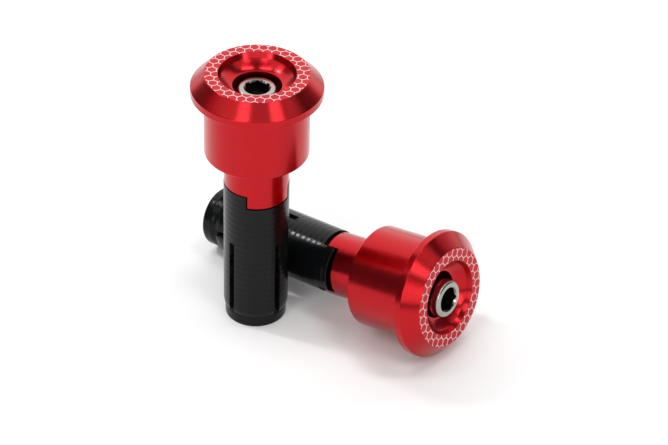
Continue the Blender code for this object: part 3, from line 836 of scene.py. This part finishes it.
def head_rings(around):
    """Rings from the socket's mouth over the rounded rim and down the knurled side to the seat.

    The knurl is the head's circle less TOOTH_DEPTH times a tooth that goes 0, half, 1, half.
    """
    one = np.ones_like(around)
    tooth = np.tile([0.0, 0.5, 1.0, 0.5], TEETH + 1)[:len(around)]
    knurl = HEAD_R - TOOTH_DEPTH * tooth
    return [
        polar(SOCKET_MOUTH * one, around, HEAD_TOP),
        polar((SOCKET_MOUTH + MOUTH_LIP) * one, around, HEAD_TOP),
        polar((HEAD_R - 0.62) * one, around, HEAD_TOP),
        polar((HEAD_R - 0.54) * one, around, HEAD_TOP - 0.02),
        polar((HEAD_R - 0.20) * one, around, HEAD_TOP - 0.26),
        polar(np.minimum(knurl, HEAD_R - 0.08), around, HEAD_TOP - 0.42),
        polar(knurl, around, HEAD_TOP - 0.55),
        *[polar(knurl, around, z) for z in np.linspace(HEAD_TOP - 1.0, HEAD_SEAT + 0.5, 8)],
        polar(knurl, around, HEAD_SEAT + 0.3),
        polar((HEAD_R - 0.25) * one, around, HEAD_SEAT),
        polar((SCREW_R + UNDERCUT) * one, around, HEAD_SEAT),
    ]


# %% Clamp screw
HOLLOW_WAY, UNDER_WAY = -0.5, 12.0


def ring_way(rings):
    """Way along the profile of each ring, from the radius and station of its first point."""
    return along(np.array([(ring[0, 0], ring[0, 2]) for ring in rings]))


def clamp_screw(letter, body):
    """One screw: socket and head, the seat under the head, then shank, thread and pointed end.

    The thread grows from the plain shank to its full depth over THREAD_FADE.
    """
    around = full_turn(4 * TEETH)
    socket = socket_rings(around)
    head = [socket[-1], *head_rings(around)]
    skin = Patches()
    skin.add(np.stack(head), ring_way(head))
    # The socket's way runs below zero, so the nickel finish paints its inside near black as shade.
    skin.add(np.stack(socket), HOLLOW_WAY - ring_way(socket))
    turn = full_turn(TEETH)
    under = np.stack([polar(SCREW_R + UNDERCUT, around, HEAD_SEAT)[::4],
                      polar(SCREW_R, turn, HEAD_SEAT - 0.001)])
    skin.add(under, [UNDER_WAY, UNDER_WAY + UNDERCUT])
    shank = [polar(SCREW_R + 0 * turn, turn, z)
             for z in (HEAD_SEAT - 0.001, THREAD_TOP + THREAD_FADE)]
    levels = np.linspace(THREAD_TOP, SCREW_TIP + 0.6, int((THREAD_TOP - SCREW_TIP) * 10))
    fade = np.clip((THREAD_TOP - levels) / THREAD_FADE, 0.0, 1.0)
    thread = [polar(SCREW_R + (thread_radius(turn, z) - SCREW_R) * f, turn, z)
              for z, f in zip(levels, fade)]
    end = [polar(np.minimum(thread_radius(turn, SCREW_TIP + 0.3), 2.75), turn, SCREW_TIP + 0.3),
           polar(TIP_R + 0 * turn, turn, SCREW_TIP), polar(0 * turn, turn, SCREW_TIP)]
    skin.add(np.stack(shank + thread + end))
    name = f"socket_head_screw_{letter}"
    return finished(name, skin.mesh(name, PLUGS[letter]["screw"]), body, f"clamp_screw_{letter}",
                    NICKEL)


for letter in "ab":
    clamp_screw(letter, f"screw_{letter}")

# %% [markdown]
# ## Floor and lights
# The pair stands on plain white. Turned metal shows its lights as streaks that run towards its
# axis, so each streak is a lamp whose direction was worked out from where the streak should lie:
# the lamp stands where the mirrored line of sight points. A sky texture would be quicker, but a
# streak could not be moved by itself. Broad dim panels fill the darker parts between the streaks.


# %% Lamp helper
AIM = FOOT_A + Vector((0.02034, 0.0, 0.02908))


def toward(azimuth, elevation):
    """A direction in degrees: azimuth to the right of the camera's side, elevation off the floor.

    x = sin(azimuth) cos(elevation), y = -cos(azimuth) cos(elevation), z = sin(elevation).
    """
    a, e = math.radians(azimuth), math.radians(elevation)
    return Vector((math.sin(a) * math.cos(e), -math.cos(a) * math.cos(e), math.sin(e)))


def softbox(name, azimuth, elevation, distance, width, height, radiance):
    """A rectangular lamp. Its power is pi * radiance * area."""
    data = bpy.data.lights.new(name, 'AREA')
    data.shape = 'RECTANGLE'
    data.size, data.size_y = width, height
    data.energy = math.pi * radiance * width * height
    lamp = bpy.data.objects.new(name, data)
    way = toward(azimuth, elevation)
    lamp.location = AIM + way * distance
    lamp.rotation_euler = (-way).to_track_quat('-Z', 'Y').to_euler()
    bpy.context.scene.collection.objects.link(lamp)


# %% Floor and world
HALF_FLOOR = 3.0
TABLE_WHITE = (0.90, 0.90, 0.90)
WORLD_WHITE, WORLD_STRENGTH = (1.0, 1.0, 1.0, 1.0), 0.14
floor_mesh = bpy.data.meshes.new("floor")
floor_mesh.from_pydata([(-HALF_FLOOR, -HALF_FLOOR, 0), (HALF_FLOOR, -HALF_FLOOR, 0),
                        (HALF_FLOOR, HALF_FLOOR, 0), (-HALF_FLOOR, HALF_FLOOR, 0)],
                       [], [(0, 1, 2, 3)])
floor = bpy.data.objects.new("floor", floor_mesh)
bpy.context.scene.collection.objects.link(floor)
floor_mesh.materials.append(new_material("white_table", TABLE_WHITE, 0.0, 0.6))

world = bpy.data.worlds.new("studio")
bpy.context.scene.world = world
world.use_nodes = True
background = world.node_tree.nodes["Background"]
background.inputs["Color"].default_value = WORLD_WHITE
background.inputs["Strength"].default_value = WORLD_STRENGTH
print("floor", 2 * HALF_FLOOR, "m across")

# %% Lamps
LAMPS = (
    # name, azimuth and elevation in degrees, distance, width and height in metres, radiance
    ("back_panel", 180, 32, 1.2, 2.8, 1.40, 1.3),
    ("key_left", -29, 51, 0.9, 0.23, 0.36, 3.8),
    ("key_right", 42, 50, 0.9, 0.23, 0.36, 3.8),
    ("broad_left", -76, 50, 0.9, 0.70, 0.34, 1.0),
    ("broad_right", 79, 50, 0.9, 0.36, 0.34, 0.8),
    ("between_keys", 6, 52, 0.9, 0.30, 0.34, 0.8),
    ("overhead_left", -90, 74, 0.93, 0.16, 0.30, 9.0),
    ("overhead_right", 90, 74, 0.93, 0.16, 0.30, 9.0),
    ("front_panel", 0, 18, 1.0, 1.60, 0.44, 1.5),
    ("front_strip_left", -36, 18, 0.9, 0.12, 0.34, 6.0),
    ("front_strip_right", 36, 18, 0.9, 0.12, 0.34, 6.0),
    ("small_lamp", -109, 51, 0.85, 0.05, 0.05, 200.0),
)
for lamp_values in LAMPS:
    softbox(*lamp_values)
print(len(LAMPS), "lamps")

# %% [markdown]
# ## Camera
# Small parts look truest from well above through a long lens, which keeps the upright plug's sides
# almost parallel. A short lens from close by would make its head look too big. The camera stands
# on the line that `toward` gives and turns a little about its own axis.

# %% Camera
CAMERA_ELEVATION, CAMERA_DISTANCE, CAMERA_ROLL = 36.31, 0.7145, math.radians(1.58)
SENSOR_WIDTH, LENS = 36.0, 147.2
away = toward(0.0, CAMERA_ELEVATION)
camera_data = bpy.data.cameras.new("camera")
camera_data.sensor_width = SENSOR_WIDTH
camera_data.lens = LENS
camera = bpy.data.objects.new("camera", camera_data)
look = (-away).to_track_quat('-Z', 'Y').to_matrix().to_4x4()
camera.matrix_world = (Matrix.Translation(AIM + away * CAMERA_DISTANCE) @ look
                       @ Matrix.Rotation(CAMERA_ROLL, 4, 'Z'))
bpy.context.scene.collection.objects.link(camera)
bpy.context.scene.camera = camera
bpy.context.scene.view_settings.view_transform = 'Standard'
print("camera", CAMERA_DISTANCE, "m away with a", LENS, "mm lens")

# %% [markdown]
# ## Finish
# The view layer is brought up to date once every piece is in place.

# %% Finish
bpy.context.view_layer.update()
